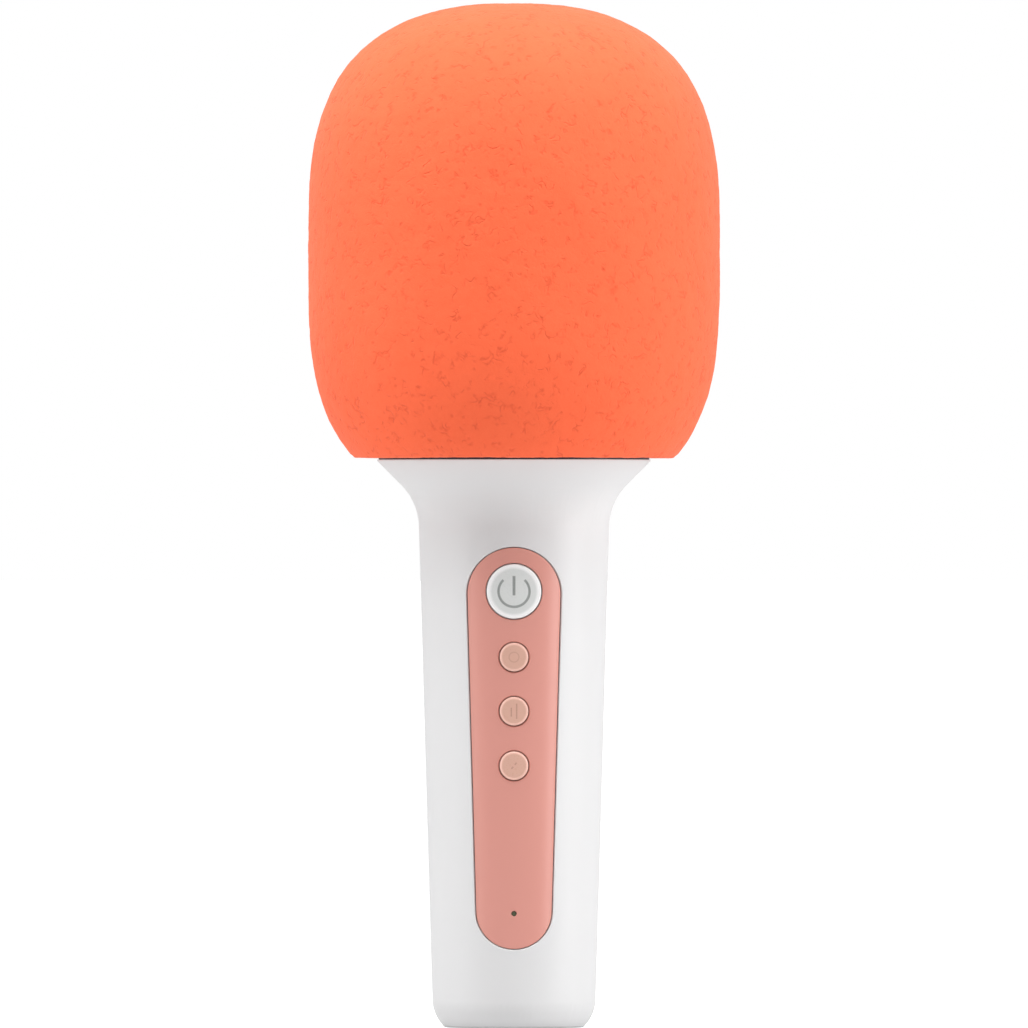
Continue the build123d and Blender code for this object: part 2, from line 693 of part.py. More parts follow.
def battery_tabs():
    """Nickel strips welded to the ends of the cell."""
    low = Pos(0, CELL_Y, 0) * ring(0, 3.4, CELL_Z[0] - 0.3, CELL_Z[0])
    high = Pos(0, CELL_Y, 0) * ring(0, 2.6, CELL_Z[1] + 0.8, CELL_Z[1] + 1.1)
    return group([low, high])


def battery_pad():
    """Foam strip that the ribs of the rear shell press on the cell."""
    strip = ring(CELL_R + 0.02, CELL_R + 0.78, 30.0, 72.0) & block((-5, 5), (0, 20), (30, 72))
    return Pos(0, CELL_Y, 0) * strip


def usb_board():
    return ring(0, 14.6, USB_BOARD_Z, USB_BOARD_Z + BOARD_T) & block((-20, 20), (-8.5, 8.5), (0, 20))


def usb_socket():
    inside = usb_mouth(USB_L - 2 * USB_WALL, USB_H - 2 * USB_WALL, USB_BOTTOM_Z - 1, USB_BOARD_Z + 1)
    return usb_mouth(USB_L, USB_H, USB_BOTTOM_Z, USB_BOARD_Z) - inside


def usb_tongue():
    blade = block((-3.35, 3.35), (-0.35, 0.35), (1.3, 5.6))
    return blade + usb_mouth(8.3, 2.62, 5.5, USB_BOARD_Z)


def wire(*points, radius=WIRE_R, bend=2.0):
    path = FilletPolyline(*points, radius=bend)
    start = Plane(path @ 0, z_dir=path % 0)
    return sweep(start * Circle(radius), path)


def battery_leads():
    """Positive and negative leads from the cell's tabs to the socket on the board."""
    plus = wire((0, CELL_Y, 84.1), (0, CELL_Y, 88.5), (5.9, -3.6, 90.5), (5.9, -8.0, 90.5), bend=0.9)
    minus = wire(
        (0, CELL_Y, 17.7), (0, CELL_Y, 12.4), (8.4, -8.6, 12.4), (8.4, -9.0, 16.4), (11.2, -8.4, 20.5),
        (11.2, -8.4, 80.0), (10.6, -5.2, 88.6), (7.9, -4.4, 90.5), (7.9, -8.0, 90.5), bend=0.9,
    )
    return group([plus, minus])


def speaker_lead(start_x, angle):
    route = [(start_x, -8.0, 98.5), (start_x, -5.6, 98.5), (start_x - 0.8, start_x / 2 - 4.8, 103.6)]
    for radius, z in ((15.7, 106.4), (17.3, 110.5), (18.6, 114.0), (20.0, 119.0)):
        route.append((*on_circle(radius, angle), z))
    return wire(*route, bend=0.9)


def speaker_leads():
    """Pair of leads from the board, past the magnet, to the speaker's frame."""
    return group([speaker_lead(-7.8, 216), speaker_lead(-6.0, 228)])


def mic_lead(radius=WIRE_R):
    """Screened lead from the board, past the speaker and through the baffle, up to the capsule."""
    return wire(
        (6.9, -8.0, 98.5), (6.9, -4.6, 98.5), (8.4, 0, 104.6), (14.4, 4.0, 105.9), (12.9, 10.6, 109.0),
        (6.5, 17.0, 113.5), (0, 20.1, 118.5), (0, LEAD_HOLE_R, 124.5), (0, LEAD_HOLE_R, 133.0),
        (0, 5.0, 171.0), (0, 1.4, 176.4), radius=radius, bend=1.1,
    )


def usb_leads():
    pair = []
    for x in (-6.6, -8.1):
        route = [(x, -3.0, USB_BOARD_Z + BOARD_T), (x, -3.0, 12.0), (x, -9.9, 15.5), (x, -9.9, 21.3)]
        pair.append(wire(*route, radius=0.45, bend=1.0))
    return group(pair)


# ---------------------------------------------------------------- write every node

def all_parts():
    blank = shell_blank()
    parts = {
        "foam_windscreen": foam_windscreen(),
        "grille_cage": grille_cage(),
        "cage_screws": cage_screws(),
        "mesh_liner": mesh_liner(),
        "speaker_baffle": speaker_baffle(),
        "baffle_screws": baffle_screws(),
        "capsule_bridge": capsule_bridge(),
        "capsule_boot": capsule_boot(),
        "mic_capsule": mic_capsule(),
        "capsule_felt": capsule_felt(),
        "speaker_frame": speaker_frame(),
        "speaker_top_plate": speaker_top_plate(),
        "speaker_magnet": speaker_magnet(),
        "speaker_yoke": speaker_yoke(),
        "voice_coil": voice_coil(),
        "speaker_cone": speaker_cone(),
        "dust_cap": dust_cap(),
        "speaker_surround": speaker_surround(),
        "speaker_spider": speaker_spider(),
        "speaker_gasket": speaker_gasket(),
        "front_shell": front_shell(blank),
        "rear_shell": rear_shell(blank),
        "handle_screws": handle_screws(),
        "base_cap": base_cap(),
        "control_panel": control_panel(),
        "power_key": power_key(),
        "power_plunger": plunger(POWER_Z),
        "light_pipe": light_pipe(),
        "status_led": status_led(),
        "switch_bodies": switch_bodies(),
        "switch_board": switch_board(),
        "board_chips": board_chips(),
        "board_passives": board_passives(),
        "board_connectors": board_connectors(),
        "board_screws": board_screws(),
        "battery_cell": battery_cell(),
        "battery_cradle": battery_cradle(),
        "battery_tabs": battery_tabs(),
        "battery_pad": battery_pad(),
        "usb_board": usb_board(),
        "usb_socket": usb_socket(),
        "usb_tongue": usb_tongue(),
        "battery_leads": battery_leads(),
        "speaker_leads": speaker_leads(),
        "mic_lead": mic_lead(),
        "usb_leads": usb_leads(),
    }
    for name, z in SMALL_KEY_Z.items():
        parts[f"{name}_key"] = key(z, SMALL_R)
        parts[f"{name}_plunger"] = plunger(z)
    return parts


os.makedirs("parts", exist_ok=True)
for node, shape in all_parts().items():
    export_step(shape, f"parts/{node}.step")
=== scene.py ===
import bmesh
import bpy
import json
from math import asin, cos, pi, radians, sin
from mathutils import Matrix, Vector, noise

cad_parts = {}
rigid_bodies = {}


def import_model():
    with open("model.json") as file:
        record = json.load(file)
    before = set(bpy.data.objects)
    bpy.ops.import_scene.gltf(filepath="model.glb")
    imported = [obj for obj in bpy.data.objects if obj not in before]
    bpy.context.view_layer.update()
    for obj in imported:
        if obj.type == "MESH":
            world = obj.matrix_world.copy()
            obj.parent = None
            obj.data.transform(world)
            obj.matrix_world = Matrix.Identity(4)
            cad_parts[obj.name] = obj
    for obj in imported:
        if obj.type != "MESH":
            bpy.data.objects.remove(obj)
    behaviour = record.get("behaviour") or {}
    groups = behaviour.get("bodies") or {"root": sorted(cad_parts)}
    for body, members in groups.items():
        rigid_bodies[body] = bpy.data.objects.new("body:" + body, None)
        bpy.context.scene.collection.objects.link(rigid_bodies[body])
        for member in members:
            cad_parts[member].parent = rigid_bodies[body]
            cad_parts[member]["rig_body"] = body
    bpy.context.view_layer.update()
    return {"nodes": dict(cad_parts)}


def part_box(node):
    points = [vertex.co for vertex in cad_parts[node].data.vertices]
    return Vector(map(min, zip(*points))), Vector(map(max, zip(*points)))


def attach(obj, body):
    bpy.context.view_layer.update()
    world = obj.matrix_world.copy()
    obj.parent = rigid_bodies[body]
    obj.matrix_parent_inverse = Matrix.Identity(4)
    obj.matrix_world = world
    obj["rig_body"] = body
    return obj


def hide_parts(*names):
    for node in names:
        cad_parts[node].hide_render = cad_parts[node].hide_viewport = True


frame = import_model()


# ======================================================================================
# Camera. A very long lens at half the microphone's height looks straight at the front,
# so that the rims of the foam, the flare and the foot read as straight lines.
# ======================================================================================
LENS = 700.0
SENSOR = 36.0
FRAME_HEIGHT = 0.2309
EYE_HEIGHT = 0.1152

lens = bpy.data.cameras.new("long_lens")
lens.lens = LENS
lens.sensor_width = SENSOR
lens.clip_end = 40.0
camera = bpy.data.objects.new("camera", lens)
camera.location = (0, -FRAME_HEIGHT * LENS / SENSOR, EYE_HEIGHT)
camera.rotation_euler = (pi / 2, 0, 0)
bpy.context.scene.collection.objects.link(camera)
bpy.context.scene.camera = camera
bpy.context.scene.view_settings.view_transform = "Standard"


# ======================================================================================
# Studio. A plain pale floor, a white surround that is dimmer from the front, a soft box
# overhead and an upright strip light at each side.
# ======================================================================================
class Term:
    """One output of a node. Sums and products of terms add the Math nodes that work them out."""

    def __init__(self, graph, socket):
        self.graph = graph
        self.socket = socket

    def out(self, name):
        return Term(self.graph, self.socket.node.outputs[name])

    def calc(self, operation, *others):
        return self.graph.node("ShaderNodeMath", {"operation": operation}, [self, *others])

    def clamped(self):
        return self.calc("MAXIMUM", 0.0).calc("MINIMUM", 1.0)

    def __add__(self, other):
        return self.calc("ADD", other)

    def __sub__(self, other):
        return self.calc("SUBTRACT", other)

    def __rsub__(self, other):
        return self.graph.node("ShaderNodeMath", {"operation": "SUBTRACT"}, [other, self])

    def __mul__(self, other):
        return self.calc("MULTIPLY", other)

    def __truediv__(self, other):
        return self.calc("DIVIDE", other)

    def __pow__(self, other):
        return self.calc("POWER", other)

    __radd__ = __add__
    __rmul__ = __mul__


class Graph:
    """A node tree that is built one call at a time."""

    def __init__(self, tree):
        self.tree = tree

    def node(self, kind, settings=None, inputs=(), output=0):
        made = self.tree.nodes.new(kind)
        for name, value in (settings or {}).items():
            if name == "stops":
                self.set_stops(made.color_ramp, value)
            else:
                setattr(made, name, value)
        named = inputs.items() if isinstance(inputs, dict) else enumerate(inputs)
        for key, value in named:
            self.put(made.inputs[key], value)
        return Term(self, made.outputs[output]) if made.outputs else None

    def put(self, socket, value):
        if isinstance(value, Term):
            self.tree.links.new(value.socket, socket)
        else:
            socket.default_value = value

    @staticmethod
    def set_stops(ramp, stops):
        for place, colour in stops[2:]:
            ramp.elements.new(place)
        for element, (place, colour) in zip(ramp.elements, stops):
            element.position = place
            element.color = colour

    def blend(self, share, first, second):
        """Colour between first and second."""
        ends = {0: share, 6: first, 7: second}
        return self.node("ShaderNodeMix", {"data_type": "RGBA"}, ends, output=2)


def rgb(red, green, blue):
    return (red, green, blue, 1.0)


class Finish(Graph):
    """A material with its shader. Constants are set on the shader, and terms are linked to it."""

    def __init__(self, name, **constants):
        self.material = bpy.data.materials.new(name)
        self.material.use_nodes = True
        super().__init__(self.material.node_tree)
        self.shader = self.tree.nodes["Principled BSDF"]
        for key, value in constants.items():
            title = key.replace("_", " ").title().replace("Ior", "IOR")
            self.shader.inputs[title].default_value = value

    def place(self):
        return self.node("ShaderNodeTexCoord").out("Object")

    def feed(self, key, value):
        self.put(self.shader.inputs[key], value)

    def bump(self, height, depth):
        """Relief, where height runs from 0 to 1 and depth is in metres."""
        self.feed("Normal", self.node("ShaderNodeBump", None, {"Height": height, "Distance": depth}))


def light_box(name, size, place, target, radiance):
    light = bpy.data.lights.new(name, "AREA")
    light.shape = "RECTANGLE"
    light.size, light.size_y = size
    light.energy = radiance * pi * size[0] * size[1]
    holder = bpy.data.objects.new(name, light)
    holder.location = place
    holder.rotation_euler = (Vector(target) - Vector(place)).to_track_quat("-Z", "Y").to_euler()
    bpy.context.scene.collection.objects.link(holder)


MIDDLE = (0, 0, 0.12)
SHOULDER = (0, 0, 0.20)
light_box("left_strip", (0.40, 0.8), (-0.70, -0.18, 0.46), MIDDLE, 2.2)
light_box("right_strip", (0.35, 0.9), (0.72, -0.20, 0.20), MIDDLE, 4.8)
light_box("overhead_box", (0.7, 0.5), (-0.10, -0.26, 0.90), SHOULDER, 6.8)

SURROUND_GLOW = 0.74
FRONT_DIMMING = 0.66
surround = bpy.data.worlds.new("surround")
surround.use_nodes = True
bpy.context.scene.world = surround
sky = Graph(surround.node_tree)
heading = sky.node("ShaderNodeSeparateXYZ", None, [sky.node("ShaderNodeTexCoord").out("Generated")])
front_share = (0 - heading.out("Y")).calc("MAXIMUM", 0.0)
glow = SURROUND_GLOW - front_share * FRONT_DIMMING
seen = sky.node("ShaderNodeLightPath").out("Is Camera Ray")
backdrop = surround.node_tree.nodes["Background"]
sky.put(backdrop.inputs["Color"], rgb(1.0, 1.0, 1.0))
sky.put(backdrop.inputs["Strength"], glow + seen * (1.0 - glow))

FLOOR_REACH = 30.0
FLOOR_HEIGHT = -0.0002
floor_mesh = bpy.data.meshes.new("floor")
sides = [(-1, -1), (1, -1), (1, 1), (-1, 1)]
corners = [(x * FLOOR_REACH, y * FLOOR_REACH, FLOOR_HEIGHT) for x, y in sides]
floor_mesh.from_pydata(corners, [], [(0, 1, 2, 3)])
floor = bpy.data.objects.new("floor", floor_mesh)
bpy.context.scene.collection.objects.link(floor)
pale = Finish("pale_floor", roughness=0.9, emission_strength=1.0)
pale.feed("Base Color", rgb(0.45, 0.45, 0.45))
seen = pale.node("ShaderNodeLightPath").out("Is Camera Ray")
pale.feed("Emission Color", pale.blend(seen, rgb(0.34, 0.34, 0.34), rgb(1, 1, 1)))
under = pale.node("ShaderNodeNewGeometry").out("Backfacing")
upper_face = Term(pale, pale.shader.outputs[0])
clear = pale.node("ShaderNodeBsdfTransparent")
one_sided = pale.node("ShaderNodeMixShader", None, [under, upper_face, clear])
pale.tree.links.new(one_sided.socket, pale.tree.nodes["Material Output"].inputs["Surface"])
floor_mesh.materials.append(pale.material)


# ======================================================================================
# Speaker and capsule. A pressed steel frame, a ferrite ring between two steel plates, a
# black paper cone on a rubber edge, and an electret capsule in a soft boot on its bridge.
# ======================================================================================
def give(finish, *names):
    """A finish for CAD pieces that are shown as they are."""
    for name in names:
        mesh = frame["nodes"][name].data
        mesh.materials.clear()
        mesh.materials.append(finish.material)


def metal(name, colour, roughness, drawn=(60.0, 60.0, 900.0)):
    """Bare or plated metal with fine drawing lines and a slightly uneven gloss."""
    finish = Finish(name, metallic=1.0)
    lined = finish.node("ShaderNodeVectorMath", {"operation": "MULTIPLY"}, [finish.place(), drawn])
    lines = finish.node("ShaderNodeTexNoise", None, {"Vector": lined, "Scale": 4.0, "Detail": 3.0})
    clouded = {"Vector": finish.place(), "Scale": 120.0, "Detail": 2.0}
    cloud = finish.node("ShaderNodeTexNoise", None, clouded)
    dull = [channel * 0.8 for channel in colour]
    finish.feed("Base Color", finish.blend(cloud, rgb(*dull), rgb(*colour)))
    finish.feed("Roughness", roughness + (lines - 0.5) * 0.25)
    finish.bump(lines, 0.00001)
    return finish


def moulded(name, colour, roughness, grain=0.000012, shift=0.04, relief=None, dress=None, **constants):
    """Moulded plastic or rubber: spark-eroded grain, and faint clouds left by the flow."""
    finish = Finish(name, **constants)
    spot = finish.place()
    flow = finish.node("ShaderNodeTexNoise", None, {"Vector": spot, "Scale": 26.0, "Detail": 2.0})
    pits = {"Vector": spot, "Scale": 3600.0, "Detail": 2.0, "Roughness": 0.7}
    spark = finish.node("ShaderNodeTexNoise", None, pits)
    dim = [channel * (1 - shift) for channel in colour]
    tone = finish.blend(flow * 0.7 + spark * 0.3, rgb(*dim), rgb(*colour))
    finish.feed("Base Color", dress(finish, tone) if dress else tone)
    finish.feed("Roughness", roughness + (spark - 0.5) * 0.18 + (flow - 0.5) * 0.06)
    finish.bump(spark * grain + (relief(finish) if relief else 0.0), 1.0)
    return finish


def woven(name, colour, pitch, depth=0.0001):
    """Cloth or felt: two sets of threads that cross, over loose fibre."""
    finish = Finish(name, roughness=0.9, sheen_weight=0.2)
    spot = finish.node("ShaderNodeSeparateXYZ", None, [finish.place()])
    turns = 2 * pi / pitch
    warp = (spot.out("X") * turns).calc("SINE") * (spot.out("Y") * turns).calc("SINE") * 0.5 + 0.5
    fibrous = {"Vector": finish.place(), "Scale": 2600.0, "Detail": 4.0}
    fibre = finish.node("ShaderNodeTexNoise", None, fibrous)
    dim = [channel * 0.6 for channel in colour]
    finish.feed("Base Color", finish.blend(warp * 0.5 + fibre * 0.5, rgb(*dim), rgb(*colour)))
    finish.bump(warp * 0.6 + fibre * 0.4, depth)
    return finish


speaker_steel = metal("dull_plated_steel", (0.32, 0.33, 0.35), 0.42)
give(speaker_steel, "speaker_frame", "speaker_top_plate", "speaker_yoke")
give(moulded("sintered_ferrite", (0.035, 0.035, 0.04), 0.6, shift=0.3), "speaker_magnet")
give(woven("pressed_paper", (0.03, 0.03, 0.032), 0.0009), "speaker_cone", "dust_cap")
black_rubber = moulded("black_rubber", (0.022, 0.022, 0.025), 0.62, shift=0.25)
give(black_rubber, "speaker_surround", "capsule_boot", "mic_lead")
give(woven("stiffened_cloth", (0.56, 0.36, 0.09), 0.0008), "speaker_spider")
give(metal("enamelled_copper", (0.62, 0.22, 0.10), 0.3, drawn=(20.0, 20.0, 3000.0)), "voice_coil")
give(woven("black_felt", (0.018, 0.018, 0.02), 0.0006), "speaker_gasket", "battery_pad", "capsule_felt")
give(metal("satin_can", (0.72, 0.72, 0.74), 0.3), "mic_capsule")


# ======================================================================================
# Boards, cell and wiring. A green switch board carries four dome switches and its chips,
# a blue-sleeved cell lies behind it in a black cradle, and a small board holds the port.
# ======================================================================================
mask = Finish("solder_mask", roughness=0.32, coat_weight=0.3)
track = mask.node("ShaderNodeSeparateXYZ", None, [mask.place()])
lane = (track.out("X") * 2600.0).calc("SINE") * (track.out("Z") * 900.0).calc("SINE")
traced = lane.calc("GREATER_THAN", 0.35)
mask.feed("Base Color", mask.blend(traced, rgb(0.012, 0.10, 0.045), rgb(0.02, 0.17, 0.075)))
mask.bump(traced, 0.00003)
give(mask, "switch_board", "usb_board")

black_moulding = moulded("black_moulding", (0.02, 0.02, 0.022), 0.45, shift=0.3)
give(black_moulding, "board_chips", "battery_cradle", "capsule_bridge", "usb_tongue", "switch_bodies")
give(moulded("cream_nylon", (0.72, 0.66, 0.5), 0.4), "board_connectors", "board_passives")
plungers = [f"{key}_plunger" for key in ("power", "upper", "middle", "lower")]
give(moulded("white_acetal", (0.68, 0.68, 0.65), 0.35), *plungers)
give(moulded("clear_epoxy", (0.6, 0.8, 0.6), 0.12, coat_weight=0.5), "status_led")
give(metal("nickel_strip", (0.66, 0.63, 0.56), 0.28), "battery_tabs")
give(moulded("red_insulation", (0.42, 0.02, 0.016), 0.4), "battery_leads", "speaker_leads", "usb_leads")
give(metal("port_steel", (0.62, 0.63, 0.65), 0.24), "usb_socket")
zinc = metal("zinc_plate", (0.66, 0.67, 0.70), 0.3, drawn=(500.0, 500.0, 500.0))
give(zinc, "board_screws", "baffle_screws")

sleeve = Finish("shrink_sleeve", roughness=0.28, coat_weight=0.4)
squeeze = [sleeve.place(), (40.0, 40.0, 600.0)]
creases = sleeve.node("ShaderNodeVectorMath", {"operation": "MULTIPLY"}, squeeze)
crease = sleeve.node("ShaderNodeTexNoise", None, {"Vector": creases, "Scale": 1.0, "Detail": 2.0})
sleeve.feed("Base Color", sleeve.blend(crease, rgb(0.015, 0.10, 0.38), rgb(0.03, 0.17, 0.52)))
sleeve.bump(crease, 0.00004)
give(sleeve, "battery_cell")


# ======================================================================================
# Grip. Two half shells of white moulded plastic meet in a hairline at the sides, and
# four screws in deep wells at the rear hold them together round the foot plate.
# ======================================================================================
JOIN_DISTANCE = 0.000002
SHARP_ANGLE = radians(32)
GRIP_SLOPE = 0.02827
CONE_FOOT = 0.0060
CONE_TOP = 0.1125
CONE_LEAST_RADIUS = 0.0172
CONE_MATCH = 0.985


def smooth_copy(node, slot, finish):
    """A CAD piece with its triangles joined and its round faces shaded smooth, in the piece's place."""
    mesh = bmesh.new()
    mesh.from_mesh(frame["nodes"][node].data)
    bmesh.ops.remove_doubles(mesh, verts=mesh.verts, dist=JOIN_DISTANCE)
    shaded = bpy.data.meshes.new(node + "_shaded")
    mesh.to_mesh(shaded)
    mesh.free()
    shaded.materials.clear()
    shaded.materials.append(finish.material)
    shaded.shade_smooth()
    shaded.set_sharp_from_angle(angle=SHARP_ANGLE)
    draft = bpy.data.objects.new(node + "_draft", shaded)
    bpy.context.scene.collection.objects.link(draft)
    weighting = draft.modifiers.new("weighting", "WEIGHTED_NORMAL")
    weighting.keep_sharp = True
    graph = bpy.context.evaluated_depsgraph_get()
    finished = bpy.data.meshes.new_from_object(draft.evaluated_get(graph))
    bpy.data.objects.remove(draft)
    piece = bpy.data.objects.new(node + "_piece", finished)
    bpy.context.scene.collection.objects.link(piece)
    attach(piece, frame["nodes"][node]["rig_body"])
    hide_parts(node)
    return piece


def cone_outward(spot):
    """Way out of the grip's cone, which narrows towards the foot."""
    return Vector((spot.x, spot.y, 0)).normalized() - Vector((0, 0, GRIP_SLOPE))


def true_to_cone(piece, low=0.0, high=1.0):
    """Turn the shading of faces that follow the grip's cone, between two heights, to the cone's own."""
    mesh = piece.data
    normals = [Vector(corner.vector) for corner in mesh.corner_normals]
    for face in mesh.polygons:
        aligned = face.normal.dot(cone_outward(face.center)) > CONE_MATCH
        outer = face.center.xy.length > CONE_LEAST_RADIUS
        if aligned and outer and low < face.center.z < high:
            for corner in face.loop_indices:
                spot = mesh.vertices[mesh.loops[corner].vertex_index].co
                normals[corner] = cone_outward(spot).normalized()
    mesh.normals_split_custom_set(normals)


satin_white = moulded("satin_white", (0.70, 0.70, 0.705), 0.42, grain=0.000008, shift=0.02)
for shell in ("front_shell", "rear_shell"):
    true_to_cone(smooth_copy(shell, "shell_white", satin_white), low=CONE_FOOT, high=CONE_TOP)
smooth_copy("base_cap", "shell_white", satin_white)
smooth_copy("handle_screws", "screw_steel", zinc)


# ======================================================================================
# Key strip. A rose-pink moulding, let into the front of the grip, with a round hole for
# each key and a pin-hole for the indicator, which shows the smoky end of a light guide.
# ======================================================================================
STRIP_TOP = (0.0973, 0.0104)
STRIP_LOW = (0.0263, 0.00843)
PILLOW = 0.0007


def pillow(finish):
    """The strip's face falls away softly towards its long edges."""
    spot = finish.node("ShaderNodeSeparateXYZ", None, [finish.place()])
    low, low_half = STRIP_LOW
    top, top_half = STRIP_TOP
    half_width = low_half + (spot.out("Z") - low) * ((top_half - low_half) / (top - low))
    return (spot.out("X").calc("ABSOLUTE") / half_width) ** 6 * -PILLOW


rose = moulded("rose_satin", (0.68, 0.292, 0.242), 0.38, grain=0.000008, shift=0.03, relief=pillow)
true_to_cone(smooth_copy("control_panel", "panel_pink", rose))
smoky_acrylic = moulded("smoky_acrylic", (0.09, 0.12, 0.07), 0.15, coat_weight=0.6)
smooth_copy("light_pipe", "light_guide", smoky_acrylic)


# ======================================================================================
# Keys. One white cap with the power sign sunk into it and filled with grey, and three
# rose caps with faint marks. Each follows the grip's curve and stands just proud of it.
# ======================================================================================
KEY_RADIUS = 0.0061
SMALL_KEY_RADIUS = 0.0032
RIM_START = 0.80
RIM_FADE = 0.1
INK_EDGE = 0.00006
RING_RADIUS = 0.00346
RING_HALF_WIDTH = 0.000275
RING_OPENING = 0.933


def within(distance, limit):
    """1 where a distance is under the limit, 0 beyond it, with a soft edge."""
    return ((limit - distance) / INK_EDGE + 0.5).clamped()


def upright_bar(across, up, place, length, width):
    beside = within((across - place[0]).calc("ABSOLUTE"), width / 2)
    return beside * within((up - place[1]).calc("ABSOLUTE"), length / 2)


def power_sign(across, up, out):
    """A ring that is open at the top, with an upright bar in the opening."""
    ring = within((out - RING_RADIUS).calc("ABSOLUTE"), RING_HALF_WIDTH)
    gap = within(across.calc("ABSOLUTE") - up * RING_OPENING, 0.0)
    bar = upright_bar(across, up, (0.0, 0.00127), 0.00434, 0.00064)
    return (ring * (1 - gap)).calc("MAXIMUM", bar)


def ring_sign(across, up, out):
    return within((out - 0.0011).calc("ABSOLUTE"), 0.00014) * 0.35


def level_sign(across, up, out):
    tall = upright_bar(across, up, (0.0006, 0.0), 0.0034, 0.0003)
    short = upright_bar(across, up, (-0.0006, -0.0002), 0.0020, 0.0003)
    return tall.calc("MAXIMUM", short) * 0.7


def dots_sign(across, up, out):
    lean = (across - up * 0.8).calc("ABSOLUTE")
    return within(lean, 0.00022) * within((out - 0.0006).calc("ABSOLUTE"), 0.0003) * 0.6


def cap(name, height, radius, face, rim, ink, sign):
    """Cap with a fine matt face, a painted highlight round its rim, and its sign on the face."""

    def dress(finish, tone):
        spot = finish.node("ShaderNodeSeparateXYZ", None, [finish.place()])
        across = spot.out("X")
        up = spot.out("Z") - height
        out = (across ** 2 + up ** 2).calc("SQRT")
        # The rim is drawn lighter than the face: a painted highlight where the rounded edge would catch
        # the side lights.
        rim_highlight = ((out / radius - RIM_START) / RIM_FADE).clamped()
        rim_highlighted = finish.blend(rim_highlight, tone, rgb(*rim))
        return finish.blend(sign(across, up, out), rim_highlighted, rgb(*ink))

    return moulded(name, face, 0.3, grain=0.000005, shift=0.02, dress=dress)


def small_cap(name, height, sign):
    # The second colour is a painted highlight for the small caps' rounded edges; the third is the colour
    # of their marks.
    blush, blush_rim_highlight, umber = (0.66, 0.385, 0.30), (0.86, 0.53, 0.44), (0.42, 0.22, 0.17)
    return cap(name, height, SMALL_KEY_RADIUS, blush, blush_rim_highlight, umber, sign)


# The second colour is a painted highlight for the power cap's rounded edge; the third is the grey of its
# sign.
ivory, ivory_rim_highlight, grey_ink = (0.66, 0.68, 0.67), (0.88, 0.88, 0.88), (0.36, 0.38, 0.37)
caps = {
    "power_key": cap("ivory_cap", 0.0979, KEY_RADIUS, ivory, ivory_rim_highlight, grey_ink, power_sign),
    "upper_key": small_cap("blush_cap_ring", 0.0832, ring_sign),
    "middle_key": small_cap("blush_cap_level", 0.0711, level_sign),
    "lower_key": small_cap("blush_cap_dots", 0.0589, dots_sign),
}
for key, finish in caps.items():
    true_to_cone(smooth_copy(key, "key_white" if key == "power_key" else "key_pink", finish))


# ======================================================================================
# Grille. A dark moulded basket with rows of windows, lined with fine wire cloth, stands
# on the baffle that closes the flare. It shows when the foam head is pulled off.
# ======================================================================================
dark_basket = moulded("dark_basket", (0.035, 0.04, 0.055), 0.45, shift=0.2)
for part in ("grille_cage", "speaker_baffle"):
    smooth_copy(part, "grille_plastic", dark_basket)
smooth_copy("cage_screws", "screw_steel", zinc)

WEAVE_PITCH = 0.0018
WEAVE_WAVE = 0.00012
WIRE_RADIUS = 0.00016
WIRE_SIDES = 4
CLOTH_INSET = 0.0003
UPRIGHT_SHARES = (1.0, 0.78, 0.9, 0.78)
liner_low, liner_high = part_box("mesh_liner")
cloth_radius = liner_high.x - CLOTH_INSET
cloth_crown = liner_high.z - liner_high.x


def cloth_point(turn, run):
    """Point of the cup at a turn about the axis and a run up its side, with the push of the weave."""
    side = cloth_crown - liner_low.z - WIRE_RADIUS
    tilt = max(run - side, 0.0) / cloth_radius
    height = liner_low.z + WIRE_RADIUS + min(run, side)
    outward = Vector((cos(turn) * cos(tilt), sin(turn) * cos(tilt), sin(tilt)))
    return Vector((0, 0, height)) + outward * cloth_radius, outward


def cloth_lines():
    """Centre lines of the hoops and of the uprights, some of which stop short of the crown."""
    columns = round(2 * pi * cloth_radius / WEAVE_PITCH / 8) * 8
    full_run = cloth_crown - liner_low.z + cloth_radius * pi / 2
    hoops = int(full_run / WEAVE_PITCH)
    lines = []
    for hoop in range(hoops):
        line = []
        for step in range(columns * 2):
            middle, outward = cloth_point(pi * step / columns, hoop * WEAVE_PITCH)
            push = 0 if step % 2 else (1 if (hoop + step // 2) % 2 else -1)
            line.append(middle + outward * push * WEAVE_WAVE)
        lines.append((line, True))
    for column in range(columns):
        share = UPRIGHT_SHARES[column % 4]
        line = []
        for step in range(int(hoops * share) * 2 - 1):
            middle, outward = cloth_point(2 * pi * column / columns, step * WEAVE_PITCH / 2)
            push = 0 if step % 2 else (-1 if (step // 2 + column) % 2 else 1)
            line.append(middle + outward * push * WEAVE_WAVE)
        lines.append((line, False))
    return lines


def line_mesh(name, lines):
    points = []
    edges = []
    for line, closed in lines:
        first = len(points)
        points += line
        edges += [(i, i + 1) for i in range(first, len(points) - 1)]
        if closed:
            edges.append((len(points) - 1, first))
    mesh = bpy.data.meshes.new(name)
    mesh.from_pydata(points, edges, [])
    return mesh


